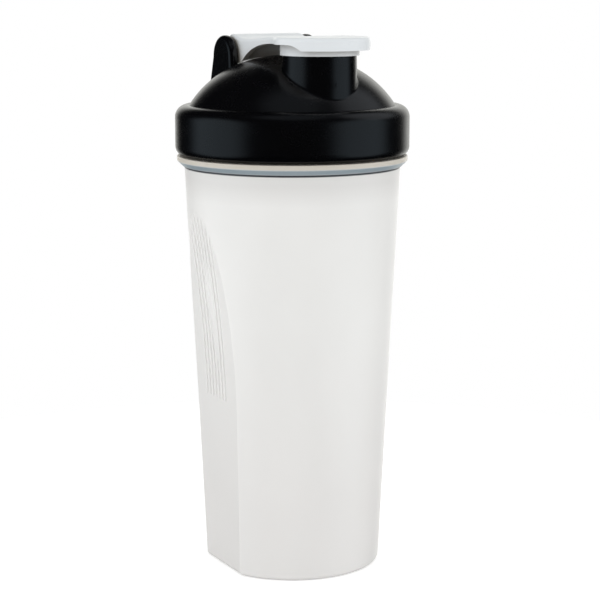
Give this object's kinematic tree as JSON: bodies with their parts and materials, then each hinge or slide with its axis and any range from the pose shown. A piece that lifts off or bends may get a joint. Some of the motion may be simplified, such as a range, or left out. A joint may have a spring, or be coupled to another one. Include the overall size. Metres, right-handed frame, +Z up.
{
  "type": "protein shaker bottle",
  "caption": "Tapered translucent shaker cup with screw-on domed lid, hinged flip cap over an off-centre spout, and a loose wire whisk ball inside.",
  "frame": {"origin": "centre of the bounding box's base, on the table under the cup's axis", "axes": "+Z up the cup's axis; -Y towards the drinking spout, +Y towards the flip cap's hinge; +X and -X through the two grip flats"},
  "size_m": [0.098, 0.098, 0.2242],
  "materials": {
    "cup_plastic": "milky translucent polypropylene, satin",
    "lid_plastic": "black polypropylene, satin",
    "cap_plastic": "white polypropylene, semi-gloss",
    "seal_rubber": "pale silicone",
    "wire": "polished stainless wire"
  },
  "bodies": {
    "cup": {"cup": "cup_plastic"},
    "gasket_carrier": {"lid_gasket": "seal_rubber"},
    "lid": {"lid": "lid_plastic"},
    "flip_cap": {"flip_cap": "cap_plastic", "spout_seal": "seal_rubber"},
    "whisk_ball": {"whisk_ball": "wire"}
  },
  "joints": [
    {"name": "lid_lift", "type": "slide", "parent": "cup", "child": "gasket_carrier", "axis": [0, 0, 1], "range_m": [0, 0.0196]},
    {"name": "lid_turn", "type": "hinge", "parent": "gasket_carrier", "child": "lid", "pos_m": [0, 0, 0.184], "axis": [0, 0, 1], "range_deg": [0, 1170]},
    {"name": "cap_hinge", "type": "hinge", "parent": "lid", "child": "flip_cap", "pos_m": [0, 0.0247, 0.2146], "axis": [-1, 0, 0], "range_deg": [0, 115]},
    {"name": "ball_rise", "type": "slide", "parent": "cup", "child": "whisk_ball", "axis": [0, 0, 1], "range_m": [0, 0.12]}
  ],
  "couplings": [
    {"joint": "lid_lift", "follows": "lid_turn", "m_per_rad": 0.00095493}
  ]
}
